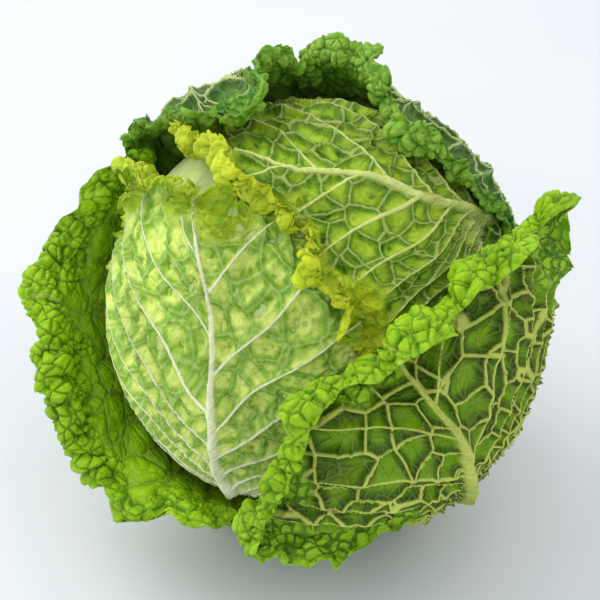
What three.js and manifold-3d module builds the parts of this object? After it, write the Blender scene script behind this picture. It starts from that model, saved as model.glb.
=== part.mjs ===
// Savoy cabbage head: a heart of packed young leaves, smooth closed head leaves round it,
// loose wrapper leaves outside and the cut stem below. Millimetres, +Z up, with the origin at
// the centre of the small flat spot the head rests on.
import * as THREE from 'three';
import { mergeVertices } from 'three/addons/utils/BufferGeometryUtils.js';
import Module from 'manifold-3d';

const wasm = await Module();
wasm.setup();

// ---- driving dimensions (millimetres and degrees) ----
const HEAD_HEIGHT = 94.6;        // centre of the head above the table
const LEAN_LEFT = 20.6;          // lean of the head's axis towards -X
const LEAN_FORWARD = 4.9;        // lean of the head's axis towards -Y
const LEAF_THICKNESS = 1.6;
const MARGIN_THICKNESS = 1.1;
const LAYER = 3.4;               // from one packed leaf to the next
const HEART_RADIUS = 54.4;
const STEM_TOP_RADIUS = 11;
const STEM_END_RADIUS = 15;
const STEM_START = HEART_RADIUS + 0.6;   // distances from the head's centre
const STEM_END = 93.4;
const RIB_HALF_WIDTH = 5;
const RIB_ANGLE = 4;             // extra spokes at this angle each side of a midrib

// ---- the leaves ----
// A leaf is laid on a sphere round the head's centre. polar and azimuth place its middle: polar
// from the crown down, azimuth from the front round to the right. radius is the sphere's.
// margin lists stations round the leaf, each [angle from the tip towards the leaf's right side,
// reach from the middle to the edge, rise of the edge above the sphere, roll of the edge in
// degrees]. free is the share of the reach that hugs the sphere, puff a bulge of the tip half,
// roll the length of leaf in a half-turn roll, and rib the height of the midrib.
const INNER = [[0, 84, 0, 0], [60, 80, 0, 0], [120, 78, 0, 0], [180, 104, 0, 0], [-120, 78, 0, 0],
  [-60, 80, 0, 0]];
const innerLeaf = (number, azimuth, scale) => ({
  name: `inner_leaf_${number}`, look: 'heart', polar: 58, azimuth,
  radius: HEART_RADIUS + LAYER * number, free: 0.8, rib: 0.6,
  margin: INNER.map(([angle, reach]) => [angle, reach * scale, 0, 0]),
});
const LEAVES = [
  innerLeaf(1, -150, 0.78),
  innerLeaf(2, 72, 0.83),
  innerLeaf(3, -65, 0.88),
  innerLeaf(4, 151, 0.94),
  {
    name: 'head_leaf_back', look: 'pale', polar: 62, azimuth: 175, radius: 71.8, free: 0.8, rib: 0.8,
    margin: [[0, 92, 0, 0], [60, 84, 0, 0], [120, 84, 0, 0], [155, 112, 0, 0], [180, 128, 0, 0],
      [-155, 112, 0, 0], [-120, 84, 0, 0], [-60, 84, 0, 0]],
  },
  {
    name: 'head_leaf_crown', look: 'pale', polar: 48, azimuth: -62, radius: 75.3, free: 0.8, rib: 0.8,
    margin: [[0, 80, 0, 0], [60, 78, 0, 0], [120, 86, 0, 0], [155, 126, 0, 0], [180, 150, 0, 0],
      [-155, 126, 0, 0], [-120, 86, 0, 0], [-60, 78, 0, 0]],
  },
  {
    name: 'head_leaf_front', look: 'young', polar: 66, azimuth: -44, radius: 78.8, free: 0.8,
    roll: 18, rib: 1.2,
    margin: [[-6, 66, 1, 140], [13, 69, 1, 65], [32, 83, 0, 0], [73, 88, 0, 0], [114, 88, 0, 0],
      [150, 104, 0, 0], [180, 134, 0, 0], [-155, 92, 0, 0], [-128, 64, 0, 0], [-102, 60, 0, 0],
      [-84, 64, 0, 0], [-68, 73, 0, 20], [-56, 79, 0.5, 65], [-33, 71, 1, 135]],
  },
  {
    name: 'head_leaf_top', look: 'young', polar: 62, azimuth: 84, radius: 82.2, free: 0.8, roll: 19,
    rib: 1.4,
    margin: [[13, 106, 1, 90], [-1, 92, 1, 140], [-24, 75, 1, 150], [-51, 68, 1, 130], [-86, 75, 0, 40],
      [-110, 85, 0, 0], [-150, 112, 0, 0], [180, 146, 0, 0], [150, 112, 0, 0], [110, 98, 0, 0],
      [73, 112, 0, 0], [40, 118, 0, 0]],
  },
  {
    name: 'wrapper_leaf_right', look: 'wrapper', polar: 111, azimuth: 93, radius: 85.8, free: 0.7,
    rib: 0.8,
    margin: [[0, 52, 0, 0], [45, 66, 0, 0], [90, 72, 0, 0], [135, 72, 0, 0], [158, 80, 0, 0],
      [180, 80, 0, 0], [-158, 80, 0, 0], [-135, 72, 0, 0], [-90, 66, 0, 0], [-45, 58, 0, 0]],
  },
  {
    name: 'wrapper_leaf_left', look: 'wrapper', polar: 104, azimuth: -92, radius: 85.8, free: 0.3,
    roll: 24, rib: 2,
    margin: [[-44, 94, 1, 0], [-30, 100, 5, 60], [-14, 61, 10, 110], [18, 45, 13, 120],
      [50, 37, 12, 120], [86, 39, 12, 120], [95, 56, 11, 110], [104, 76, 6, 40], [125, 78, 1, 0],
      [148, 88, 0, 0], [165, 94, 0, 0], [180, 92, 0, 0], [-165, 94, 0, 0], [-148, 90, 0, 0],
      [-120, 80, 0, 0], [-90, 84, 0, 0], [-62, 88, 0, 0]],
  },
  {
    name: 'wrapper_leaf_back_left', look: 'wrapper', polar: 92, azimuth: -162, radius: 89.2, free: 0.3,
    puff: 8, roll: 18, rib: 1.5,
    margin: [[-150, 92, 0, 0], [-120, 66, 0, 0], [-90, 58, 0, 0], [-60, 62, 1, 0], [-38, 82, 4, 60],
      [-22, 102, 7, 100], [-14, 124, 7, 100], [-10, 140, 2, 90], [-4, 139, 1, 90],
      [2, 129, 2, 90], [8, 114, 3, 90], [14, 103, 5, 80], [20, 84, 10, 40], [38, 64, 8, 0],
      [60, 64, 4, 0], [90, 72, 0, 0], [120, 78, 0, 0], [150, 102, 0, 0], [168, 113, 0, 0],
      [180, 113, 0, 0], [-168, 113, 0, 0]],
  },
  {
    name: 'wrapper_leaf_back', look: 'wrapper', polar: 98, azimuth: 138, radius: 92.8, free: 0.4,
    roll: 20, rib: 2,
    margin: [[-77, 84, -5, 30], [-59, 92, -6, 70], [-46, 97, -7, 130], [-34, 104, -7, 140],
      [-24, 98, -5, 140], [-12, 88, 0, 150], [3, 78, 4, 160], [12, 82, 5, 140], [22, 79, 4, 80],
      [36, 64, 2, 0], [50, 56, 1, 0], [75, 56, 1, 0], [110, 60, 0, 0], [150, 92, 0, 0], [168, 107, 0, 0],
      [180, 107, 0, 0], [-168, 105, 0, 0], [-150, 92, 0, 0], [-120, 82, -1, 0], [-97, 80, -4, 10]],
  },
  {
    name: 'wrapper_leaf_under', look: 'wrapper', polar: 152, azimuth: -72, radius: 94.6, free: 0.8,
    rib: 0,
    margin: [[0, 45, 0, 0], [30, 52, 0, 0], [60, 72, 0, 0], [80, 80, 0, 0], [100, 70, 0, 0],
      [130, 42, 0, 0], [155, 28, 0, 0], [180, 26, 0, 0], [-160, 30, 0, 0], [-135, 46, 0, 0],
      [-100, 52, 0, 0], [-60, 52, 0, 0], [-30, 46, 0, 0]],
  },
  {
    name: 'wrapper_leaf_front', look: 'wrapper', polar: 108, azimuth: 32, radius: 97, free: 0.6,
    roll: 28, rib: 3,
    margin: [[-104, 60, 0, 120], [-97, 74, -1, 150], [-89, 80, -2, 170], [-62, 67, -4, 180],
      [-39, 68, -6, 180], [-25, 65, -6, 180], [-10, 58, -6, 180], [6, 57, -6, 180],
      [24, 65, -5, 180], [44, 78, -1, 170], [58, 94, 3, 150], [72, 101, 6, 110], [88, 100, 6, 50],
      [100, 94, 4, 10], [120, 80, 1, 0], [150, 84, 0, 0], [168, 94, 0, 0],
      [180, 94, 0, 0], [-165, 72, 0, 0], [-150, 44, 0, 0],
      [-133, 34, 0.5, 10], [-120, 37, 1, 40], [-111, 45, 0.5, 80]],
  },
];
const LOOKS = {
  heart: { color: '#e6e6b0', roughness: 0.55 },
  pale: { color: '#cfdf9c', roughness: 0.5 },
  young: { color: '#b7cf5e', roughness: 0.5 },
  wrapper: { color: '#5f8f2b', roughness: 0.55 },
  stem: { color: '#d9dcae', roughness: 0.6 },
};

// ---- directions round the head ----
const rad = THREE.MathUtils.degToRad;
const AXIS = new THREE.Vector3(-Math.tan(rad(LEAN_LEFT)), -Math.tan(rad(LEAN_FORWARD)), 1).normalize();
const FRONT = new THREE.Vector3(0, -1, 0).projectOnPlane(AXIS).normalize();
const RIGHT = AXIS.clone().cross(FRONT);

const mix = (terms) => terms.reduce((sum, [v, k]) => sum.addScaledVector(v, k), new THREE.Vector3());

function direction(polar, azimuth) {
  const [t, a] = [rad(polar), rad(azimuth)];
  return mix([[AXIS, Math.cos(t)], [FRONT, Math.sin(t) * Math.cos(a)], [RIGHT, Math.sin(t) * Math.sin(a)]]);
}

// the middle of a leaf, its direction to the tip and its direction to the right side
function leafFrame({ polar, azimuth }) {
  const middle = direction(polar, azimuth);
  const tip = direction(polar - 90, azimuth);
  return { middle, tip, side: tip.clone().cross(middle) };
}

// ---- the surface of a leaf ----
// value of one column of the margin's stations at an angle, by a smooth closed curve
function atAngle(margin, column, angle) {
  const stations = [...margin].sort((a, b) => a[0] - b[0]);
  const n = stations.length;
  const get = (i) => {
    const lap = Math.floor(i / n);
    const s = stations[i - lap * n];
    return { a: s[0] + 360 * lap, v: s[column] };
  };
  let x = ((angle + 180) % 360 + 360) % 360 - 180;
  if (x < stations[0][0]) x += 360;
  let i = n - 1;
  while (stations[i][0] > x) i -= 1;
  const [p, q, r, s] = [get(i - 1), get(i), get(i + 1), get(i + 2)];
  const h = r.a - q.a;
  const t = (x - q.a) / h;
  const dq = (r.v - p.v) / (r.a - p.a);
  const dr = (s.v - q.v) / (s.a - q.a);
  return q.v * (1 + 2 * t) * (1 - t) ** 2 + h * dq * t * (1 - t) ** 2
    + r.v * t * t * (3 - 2 * t) - h * dr * t * t * (1 - t);
}

// height above the sphere and its slope, at a share of the reach
function lift(leaf, share, angle, reach, rise) {
  const free = 1 - leaf.free;
  const q = THREE.MathUtils.clamp((share - leaf.free) / free, 0, 1);
  const puff = (leaf.puff ?? 0) * Math.max(Math.cos(rad(angle)), 0) ** 2;
  return {
    height: rise * q ** 1.5 + puff * Math.sin(Math.PI * q) ** 2,
    slope: (1.5 * rise * Math.sqrt(q) + puff * Math.PI * Math.sin(2 * Math.PI * q)) / (free * reach),
  };
}

// a point of the leaf's middle surface: share 0 is the middle of the leaf and 1 its edge
function leafPoint(leaf, frame, share, angle) {
  const [reach, rise, turn] = [1, 2, 3].map((column) => atAngle(leaf.margin, column, angle));
  const curl = Math.max(turn, 0.01);
  const rolled = (leaf.roll ?? 10) * curl / 180;
  const path = share * (reach + rolled);
  const along = Math.min(path, reach);
  const { height, slope } = lift(leaf, along / reach, angle, reach, rise);
  const out = mix([[frame.tip, Math.cos(rad(angle))], [frame.side, Math.sin(rad(angle))]]);
  const g = along / leaf.radius;
  const up = mix([[frame.middle, Math.cos(g)], [out, Math.sin(g)]]);
  const away = mix([[out, Math.cos(g)], [frame.middle, -Math.sin(g)]]);
  const point = up.clone().multiplyScalar(leaf.radius + height);
  if (path <= reach) return point;
  const forward = mix([[away, 1 + height / leaf.radius], [up, slope]]).normalize();
  const over = up.clone().projectOnPlane(forward).normalize();
  const radius = rolled / rad(curl);
  const turned = (path - reach) / radius;
  return mix([[point, 1], [forward, radius * Math.sin(turned)], [over, radius * (1 - Math.cos(turned))]]);
}

function leafNormal(leaf, frame, share, angle) {
  const at = (ds, da) => leafPoint(leaf, frame, share + ds, angle + da);
  const ahead = at(0.002, 0).sub(at(-0.002, 0));
  const across = at(0, 0.2).sub(at(0, -0.2));
  return across.cross(ahead).normalize().multiplyScalar(-1);
}

// ---- solids ----
const RINGS = {
  packed: [0.2, 0.4, 0.6, 0.8, 1],
  wrapper: [0.18, 0.35, 0.52, 0.68, 0.77, 0.83, 0.89, 0.945, 1],
};

function spokes(step) {
  const list = [0, RIB_ANGLE, 180 - RIB_ANGLE, 180, 180 + RIB_ANGLE, 360 - RIB_ANGLE];
  for (let a = step; a < 360; a += step) if (a !== 180) list.push(a);
  return list.sort((a, b) => a - b);
}

// the midrib runs from the leaf's base, where it is highest, to its tip, where it fades out
function ribHeight(leaf, share, angle) {
  const off = share * atAngle(leaf.margin, 1, angle) * Math.abs(Math.sin(rad(angle)));
  const along = Math.min(1, 1 - share * Math.cos(rad(angle)));
  return leaf.rib * along * Math.max(0, 1 - (off / RIB_HALF_WIDTH) ** 2);
}

function layPoints(leaf, frame, rings, angles) {
  const outer = [];
  const inner = [];
  const add = (point, normal, thickness, rib) => {
    outer.push(point.clone().addScaledVector(normal, thickness / 2 + rib));
    inner.push(point.clone().addScaledVector(normal, -thickness / 2));
  };
  add(frame.middle.clone().multiplyScalar(leaf.radius), frame.middle, LEAF_THICKNESS, leaf.rib);
  for (const share of rings) {
    const thickness = THREE.MathUtils.lerp(LEAF_THICKNESS, MARGIN_THICKNESS, share ** 4);
    for (const angle of angles) {
      const point = leafPoint(leaf, frame, share, angle);
      add(point, leafNormal(leaf, frame, share, angle), thickness, ribHeight(leaf, share, angle));
    }
  }
  return [...outer, ...inner];
}

// faces of a disc of rings and spokes, numbered from a first vertex
function discFaces(rings, count, first, flipped) {
  const faces = [];
  const vertex = (ring, k) => first + 1 + ring * count + (k % count);
  const add = (a, b, c) => faces.push(...(flipped ? [a, c, b] : [a, b, c]));
  for (let k = 0; k < count; k += 1) {
    add(first, vertex(0, k), vertex(0, k + 1));
    for (let ring = 1; ring < rings; ring += 1) {
      add(vertex(ring - 1, k), vertex(ring, k + 1), vertex(ring - 1, k + 1));
      add(vertex(ring - 1, k), vertex(ring, k), vertex(ring, k + 1));
    }
  }
  return faces;
}

function leafGeometry(leaf) {
  const frame = leafFrame(leaf);
  const rings = leaf.look === 'wrapper' ? RINGS.wrapper : RINGS.packed;
  const angles = spokes(leaf.look === 'wrapper' ? 12 : 15);
  const count = angles.length;
  const points = layPoints(leaf, frame, rings, angles);
  const half = points.length / 2;
  const faces = [...discFaces(rings.length, count, 0, false), ...discFaces(rings.length, count, half, true)];
  const edge = half - count;
  for (let k = 0; k < count; k += 1) {
    const [a, b] = [edge + k, edge + ((k + 1) % count)];
    faces.push(a, b + half, b, a, a + half, b + half);
  }
  return closedGeometry(points, faces);
}

function closedGeometry(points, faces) {
  const geometry = new THREE.BufferGeometry().setFromPoints(points);
  geometry.setIndex(faces);
  geometry.computeVertexNormals();
  return geometry;
}

// a closed turned body about the head's axis from [radius, distance along the axis] pairs
function turned(profile, count) {
  const inside = profile.slice(1, -1);
  const points = [AXIS.clone().multiplyScalar(profile[0][1])];
  for (const [radius, along] of inside) {
    for (let k = 0; k < count; k += 1) {
      const a = (2 * Math.PI * k) / count;
      points.push(mix([[AXIS, along], [FRONT, radius * Math.cos(a)], [RIGHT, radius * Math.sin(a)]]));
    }
  }
  points.push(AXIS.clone().multiplyScalar(profile.at(-1)[1]));
  const last = points.length - 1;
  const faces = discFaces(inside.length, count, 0, true);
  for (let k = 0; k < count; k += 1) faces.push(last, last - count + k, last - count + ((k + 1) % count));
  return closedGeometry(points, faces);
}

function heartGeometry() {
  const profile = [];
  for (let k = 0; k <= 14; k += 1) {
    const a = Math.PI * (1 - k / 14);
    profile.push([HEART_RADIUS * Math.sin(a), HEART_RADIUS * Math.cos(a)]);
  }
  return turned(profile, 28);
}

function stemGeometry() {
  const bevel = 1.5;
  return turned([[0, -STEM_END], [STEM_END_RADIUS - bevel, -STEM_END],
    [STEM_END_RADIUS, -STEM_END + bevel], [STEM_END_RADIUS, -STEM_END + 14],
    [STEM_TOP_RADIUS + 1, -STEM_START - 6], [STEM_TOP_RADIUS, -STEM_START], [0, -STEM_START]], 32);
}

// ---- the resting spot ----
function toSolid(geometry) {
  const { position } = geometry.attributes;
  return new wasm.Manifold(new wasm.Mesh({
    numProp: 3, vertProperties: Float32Array.from(position.array),
    triVerts: Uint32Array.from(geometry.index.array),
  }));
}

function toGeometry(solid) {
  const mesh = solid.getMesh();
  const geometry = new THREE.BufferGeometry();
  geometry.setAttribute('position', new THREE.BufferAttribute(Float32Array.from(mesh.vertProperties), 3));
  geometry.setIndex(new THREE.BufferAttribute(Uint32Array.from(mesh.triVerts), 1));
  geometry.computeVertexNormals();
  return geometry;
}

// takes off what would reach below the table, which leaves the flat spot
function cutAtTable(geometry) {
  const below = new THREE.BoxGeometry(400, 400, 40).translate(0, 0, -HEAD_HEIGHT - 20);
  below.deleteAttribute('normal');
  below.deleteAttribute('uv');
  return toGeometry(toSolid(geometry).subtract(toSolid(mergeVertices(below))));
}

// ---- the cabbage ----
function piece(name, geometry, look) {
  const { color, roughness } = LOOKS[look];
  const mesh = new THREE.Mesh(geometry, new THREE.MeshStandardMaterial({ color, roughness, metalness: 0 }));
  mesh.name = name;
  return mesh;
}

const cabbage = new THREE.Group();
cabbage.position.z = HEAD_HEIGHT;
cabbage.add(piece('heart', heartGeometry(), 'heart'));
cabbage.add(piece('stem', stemGeometry(), 'stem'));
for (const leaf of LEAVES) {
  const geometry = leafGeometry(leaf);
  const resting = leaf.name === 'wrapper_leaf_under';
  cabbage.add(piece(leaf.name, resting ? cutAtTable(geometry) : geometry, leaf.look));
}

export default cabbage;
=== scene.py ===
"""Looks of the savoy cabbage head: quilted leaves with raised veins and blistered, rolled margins,
laid round the same head as the CAD leaves, with a folded heart and a cut stem."""

import math

import bpy
import numpy as np
from bpy.props import FloatProperty, FloatVectorProperty, PointerProperty
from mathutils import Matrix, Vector


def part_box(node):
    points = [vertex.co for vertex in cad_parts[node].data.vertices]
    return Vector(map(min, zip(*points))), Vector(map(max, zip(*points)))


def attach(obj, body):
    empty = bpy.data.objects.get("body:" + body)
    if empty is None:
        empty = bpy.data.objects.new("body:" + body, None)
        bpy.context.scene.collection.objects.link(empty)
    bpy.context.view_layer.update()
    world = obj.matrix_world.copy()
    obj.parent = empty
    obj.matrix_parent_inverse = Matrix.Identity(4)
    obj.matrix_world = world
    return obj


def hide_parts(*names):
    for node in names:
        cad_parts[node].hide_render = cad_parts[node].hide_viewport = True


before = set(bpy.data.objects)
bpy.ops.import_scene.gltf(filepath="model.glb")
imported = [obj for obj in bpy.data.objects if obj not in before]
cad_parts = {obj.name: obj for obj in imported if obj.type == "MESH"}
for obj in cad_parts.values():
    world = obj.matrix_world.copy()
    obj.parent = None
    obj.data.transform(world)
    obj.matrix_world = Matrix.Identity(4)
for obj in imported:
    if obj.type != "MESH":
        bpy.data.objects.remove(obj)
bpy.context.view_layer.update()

bl_info = {
    "name": "Savoy Cabbage Head",
    "version": (1, 0, 0),
    "blender": (4, 5, 0),
    "location": "View3D > Sidebar > Cabbage",
    "description": "Builds a savoy cabbage head, leaf by leaf",
    "category": "Object",
}

# ---- driving values: leaf work is in millimetres and degrees, like the CAD ----
MM = 0.001
BODY = "root"
LEAN_LEFT = 20.6
LEAN_FORWARD = 4.9
LAYER = 3.4
DEFAULT_ROLL = 10
NET_FAR = 100             # quilt cells have their stated size at this distance from the base
SECOND_NET = 2.4          # the finer nets, as multiples of the first
THIRD_NET = 6.5
BASE_SETBACK = 14         # veins fan out from this far behind the leaf's base
LATERAL_GAP = 0.4         # from one side vein to the next, as a step of log distance
LATERAL_LIMIT = 1.3       # fan angle in radians that side veins approach
LATERAL_BEND = 0.7        # how soon they approach it
SMALL_BLISTER = 2.3       # the finer and coarser margin cells, as multiples of the blisters
CLUMP = 0.36
BLISTER_MIDDLE = 1.7      # taken off the blisters, so that the margin keeps its place
FULL_RUFFLE = 40          # rolled edges of this angle and more are fully ruffled
STEM_FOOT = -93.4         # the ends of the stem along the head's axis, from the head's centre
STEM_TOP = -55.0
CAMERA_TARGET = (-0.002, 0, 0.0975)
CAMERA_DISTANCE = 0.667
CAMERA_ELEVATION = 36
CAMERA_LENS = 100
LAMP_PLACE = (-0.7, 0.3, 0.9)
LAMP_SIZE = 0.8
LAMP_ENERGY = 4.6
BRIGHT_SIDE = (-0.45, 0.35, 0.82)   # the direction from which the room is brightest
FLOOR_REACH = 3


def box_middle(node):
    """The centre of a CAD node's box, in millimetres."""
    low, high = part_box(node)
    return np.array((low + high) / 2) / MM


HEAD_CENTRE = box_middle("heart")
HEART_RADIUS = (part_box("heart")[1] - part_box("heart")[0]).z / MM / 2

# ---- the leaves ----
# Each lies on a sphere round the head's centre. polar and azimuth place its middle, margin lists
# [angle, reach, rise, roll] stations round it, free is the share of the reach that hugs the
# sphere, puff a bulge of the tip half, roll the length of leaf in a half-turn roll. steps is the
# grid's fineness, cell the width of the quilt cells, quilt, crumple and blister scale the bulges,
# band the blistered margin, gap the side veins' spacing, and rib is the midrib's height at the
# base. veins holds the midrib's base, its tip and how far it bows aside; without it the midrib
# runs straight from the base to the tip.
INNER = [[0, 84], [60, 80], [120, 78], [180, 104], [-120, 78], [-60, 80]]


def inner_leaf(number, azimuth, scale):
    """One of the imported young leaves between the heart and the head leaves."""
    return dict(
        name=f"inner_leaf_{number}", look="heart", polar=58, azimuth=azimuth,
        radius=54.4 + LAYER * number, free=0.8, rib=1.2, cell=12, steps=56, quilt=0.4, blister=0.4,
        margin=[[angle, reach * scale, 0, 0] for angle, reach in INNER])


INNER_LEAVES = [
    inner_leaf(1, -150, 0.78),
    inner_leaf(2, 72, 0.83),
    inner_leaf(3, -65, 0.88),
    inner_leaf(4, 151, 0.94),
]
HEAD_LEAVES = [
    dict(name="head_leaf_back", look="pale", polar=62, azimuth=175, radius=71.8, free=0.8,
         rib=1.5, cell=12, steps=64, quilt=0.45, blister=0.3,
         margin=[[0, 92, 0, 0], [60, 84, 0, 0], [120, 84, 0, 0], [155, 112, 0, 0],
                 [180, 128, 0, 0], [-155, 112, 0, 0], [-120, 84, 0, 0], [-60, 84, 0, 0]]),
    dict(name="head_leaf_crown", look="pale", polar=48, azimuth=-62, radius=75.3, free=0.8,
         rib=0.9, cell=14, steps=120, quilt=0.12, blister=0.3,
         margin=[[0, 80, 0, 0], [60, 78, 0, 0], [120, 86, 0, 0], [155, 126, 0, 0],
                 [180, 150, 0, 0], [-155, 126, 0, 0], [-120, 86, 0, 0], [-60, 78, 0, 0]]),
    dict(name="head_leaf_front", look="young", polar=66, azimuth=-44, radius=78.8, free=0.8,
         roll=19, rib=3.4, cell=11, gap=0.27, steps=222, quilt=0.35, blister=1.5, band=0.7,
         crumple=2.7,
         veins=((-75, -2), (71, 2), 28),
         margin=[[-6, 66, 1, 150], [13, 68, 1, 70], [32, 82, 0, 0], [73, 88, 0, 0],
                 [114, 88, 0, 0], [150, 104, 0, 0], [180, 134, 0, 0], [-155, 92, 0, 0],
                 [-128, 64, 0, 0], [-102, 60, 0, 0], [-84, 64, 0, 0], [-68, 73, 0, 20],
                 [-56, 79, 0.5, 65], [-33, 71, 1, 135]]),
    dict(name="head_leaf_top", look="leafy", polar=62, azimuth=84, radius=82.2, free=0.8,
         roll=19, rib=3.0, cell=12, gap=0.33, steps=222, quilt=0.75, blister=1.5, band=0.8,
         crumple=1.8,
         veins=((-30, 10), (101, 4), -24),
         margin=[[13, 106, 1, 90], [-1, 92, 1, 140], [-24, 75, 1, 150], [-51, 68, 1, 130],
                 [-86, 75, 0, 40], [-110, 85, 0, 0], [-150, 112, 0, 0], [180, 146, 0, 0],
                 [150, 112, 0, 0], [110, 98, 0, 0], [73, 112, 0, 0], [40, 118, 0, 0]]),
]
WRAPPER_LEAVES = [
    dict(name="wrapper_leaf_right", look="outer", polar=111, azimuth=93, radius=85.8,
         free=0.7, rib=2.5, cell=13, steps=140, quilt=0.9, blister=0.9,
         margin=[[0, 52, 0, 0], [45, 66, 0, 0], [90, 72, 0, 0], [135, 72, 0, 0],
                 [158, 80, 0, 0], [180, 80, 0, 0], [-158, 80, 0, 0], [-135, 72, 0, 0],
                 [-90, 66, 0, 0], [-45, 58, 0, 0]]),
    dict(name="wrapper_leaf_left", look="wrapper", polar=104, azimuth=-92, radius=85.8,
         free=0.3, roll=21, rib=3.5, cell=12, steps=222, quilt=0.45, blister=1.0, band=1.2,
         margin=[[-44, 94, 1, 0], [-30, 100, 5, 60], [-14, 61, 10, 110], [18, 45, 13, 120],
                 [50, 37, 12, 120], [86, 39, 12, 120], [95, 56, 11, 110], [104, 76, 6, 40],
                 [125, 78, 1, 0], [148, 88, 0, 0], [165, 94, 0, 0], [180, 92, 0, 0],
                 [-165, 94, 0, 0], [-148, 90, 0, 0], [-120, 80, 0, 0], [-90, 84, 0, 0],
                 [-62, 88, 0, 0]]),
    dict(name="wrapper_leaf_back_left", look="outer", polar=92, azimuth=-162, radius=89.2,
         free=0.3, puff=8, roll=18, rib=3.5, cell=13, steps=222, quilt=0.9, blister=1.1, band=1.2,
         margin=[[-150, 92, 0, 0], [-120, 66, 0, 0], [-90, 58, 0, 0], [-60, 62, 1, 0],
                 [-38, 82, 4, 60], [-22, 102, 7, 100], [-14, 124, 7, 100], [-10, 140, 2, 90],
                 [-4, 139, 1, 90], [2, 129, 2, 90], [8, 114, 3, 90], [14, 103, 5, 80],
                 [20, 84, 10, 40], [38, 64, 8, 0], [60, 64, 4, 0], [90, 72, 0, 0],
                 [120, 78, 0, 0], [150, 102, 0, 0], [168, 113, 0, 0], [180, 113, 0, 0],
                 [-168, 113, 0, 0]]),
    dict(name="wrapper_leaf_back", look="outer", polar=98, azimuth=138, radius=92.8,
         free=0.4, roll=20, rib=3.5, cell=13, steps=222, quilt=0.9, blister=1.0,
         margin=[[-77, 84, -5, 30], [-59, 92, -6, 70], [-46, 97, -7, 130], [-34, 104, -7, 140],
                 [-24, 98, -5, 140], [-12, 88, 0, 150], [3, 78, 4, 160], [12, 82, 5, 140],
                 [22, 79, 4, 80], [36, 64, 2, 0], [50, 56, 1, 0], [75, 56, 1, 0],
                 [110, 60, 0, 0], [150, 92, 0, 0], [168, 107, 0, 0], [180, 107, 0, 0],
                 [-168, 105, 0, 0], [-150, 92, 0, 0], [-120, 82, -1, 0], [-97, 80, -4, 10]]),
    dict(name="wrapper_leaf_under", look="wrapper", polar=152, azimuth=-72, radius=94.6,
         free=0.8, rib=1.5, cell=13, steps=130, quilt=0.7, blister=0.2,
         margin=[[0, 45, 0, 0], [30, 51, 0, 0], [60, 59, 0, 0], [80, 61, 0, 0],
                 [100, 55, 0, 0], [130, 41, 0, 0], [155, 28, 0, 0], [180, 26, 0, 0],
                 [-160, 30, 0, 0], [-135, 46, 0, 0], [-100, 52, 0, 0], [-60, 52, 0, 0],
                 [-30, 46, 0, 0]]),
    dict(name="wrapper_leaf_front", look="wrapper", polar=108, azimuth=32, radius=97,
         free=0.6, roll=23, rib=4.0, cell=17, gap=0.5, steps=222, quilt=1.1, blister=1.0,
         band=1.15,
         veins=((-30, 4), (85, -5), 0),
         margin=[[-104, 53, 0, 110], [-97, 68, -1, 150], [-89, 77, -2, 170], [-62, 67, -4, 180],
                 [-39, 68, -6, 180], [-25, 65, -6, 180], [-10, 58, -6, 180], [6, 57, -6, 180],
                 [24, 65, -5, 180], [44, 78, -1, 170], [58, 91, 3, 150], [72, 94, 5, 110],
                 [88, 93, 5, 50], [100, 94, 4, 10], [120, 80, 1, 0], [150, 84, 0, 0],
                 [168, 94, 0, 0], [180, 94, 0, 0], [-165, 72, 0, 0], [-150, 44, 0, 0],
                 [-133, 34, 0.5, 10], [-120, 35, 1, 30], [-111, 40, 0.5, 60]]),
]


# ---- small numeric tools ----
def unit(v):
    """Vectors scaled to length 1."""
    v = np.asarray(v, float)
    return v / np.linalg.norm(v, axis=-1, keepdims=True)


def smooth(x, start, end):
    """0 before start and 1 after end, by the curve 3t² - 2t³ between."""
    t = np.clip((x - start) / np.where(end == start, 1e-6, end - start), 0, 1)
    return t * t * (3 - 2 * t)


def waves(points, length, seed, count=14):
    """Smooth seeded noise, mostly within -1 to 1: a sum of sine waves of about the given length
    in random directions."""
    rng = np.random.default_rng(seed)
    heading = unit(rng.normal(size=(count, points.shape[-1])))
    turns = 2 * np.pi / (length * rng.uniform(0.75, 1.5, count))
    phase = rng.uniform(0, 2 * np.pi, count)
    return np.sin((points @ heading.T) * turns + phase).sum(-1) * math.sqrt(1 / count)


def dome(distance, width):
    """A round dome over a cell: sqrt(1 - (1 - d / width)²), 0 at the wall and 1 at the middle."""
    x = 1 - np.clip(distance / width, 0, 1)
    return np.sqrt(1 - x * x)


# ---- directions round the head ----
AXIS = unit([-math.tan(math.radians(LEAN_LEFT)), -math.tan(math.radians(LEAN_FORWARD)), 1])
FRONT = unit(np.array([0, -1, 0]) - AXIS * -AXIS[1])
RIGHT = np.cross(AXIS, FRONT)


def direction(polar, azimuth):
    """The unit vector at polar from the crown and azimuth from the front round to the right."""
    t, a = math.radians(polar), math.radians(azimuth)
    return math.cos(t) * AXIS + math.sin(t) * (math.cos(a) * FRONT + math.sin(a) * RIGHT)


# ---- the surface of a leaf ----
def around(leaf, column, angle):
    """One column of the margin's stations at each angle, by a closed cubic curve whose slope at
    a station is that of the chord between its neighbours."""
    stations = sorted(leaf["margin"])
    a = np.array([s[0] for s in stations], float)
    v = np.array([s[column] for s in stations], float)
    a = np.concatenate([a[-2:] - 360, a, a[:2] + 360])
    v = np.concatenate([v[-2:], v, v[:2]])
    x = (angle + 180) % 360 - 180
    k = np.clip(np.searchsorted(a, x) - 1, 1, len(a) - 3)
    h = a[k + 1] - a[k]
    t = (x - a[k]) / h
    start = (v[k + 1] - v[k - 1]) / (a[k + 1] - a[k - 1])
    end = (v[k + 2] - v[k]) / (a[k + 2] - a[k])
    return (v[k] * (1 + 2 * t) * (1 - t) ** 2 + h * start * t * (1 - t) ** 2
            + v[k + 1] * t * t * (3 - 2 * t) - h * end * t * t * (1 - t))


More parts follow.
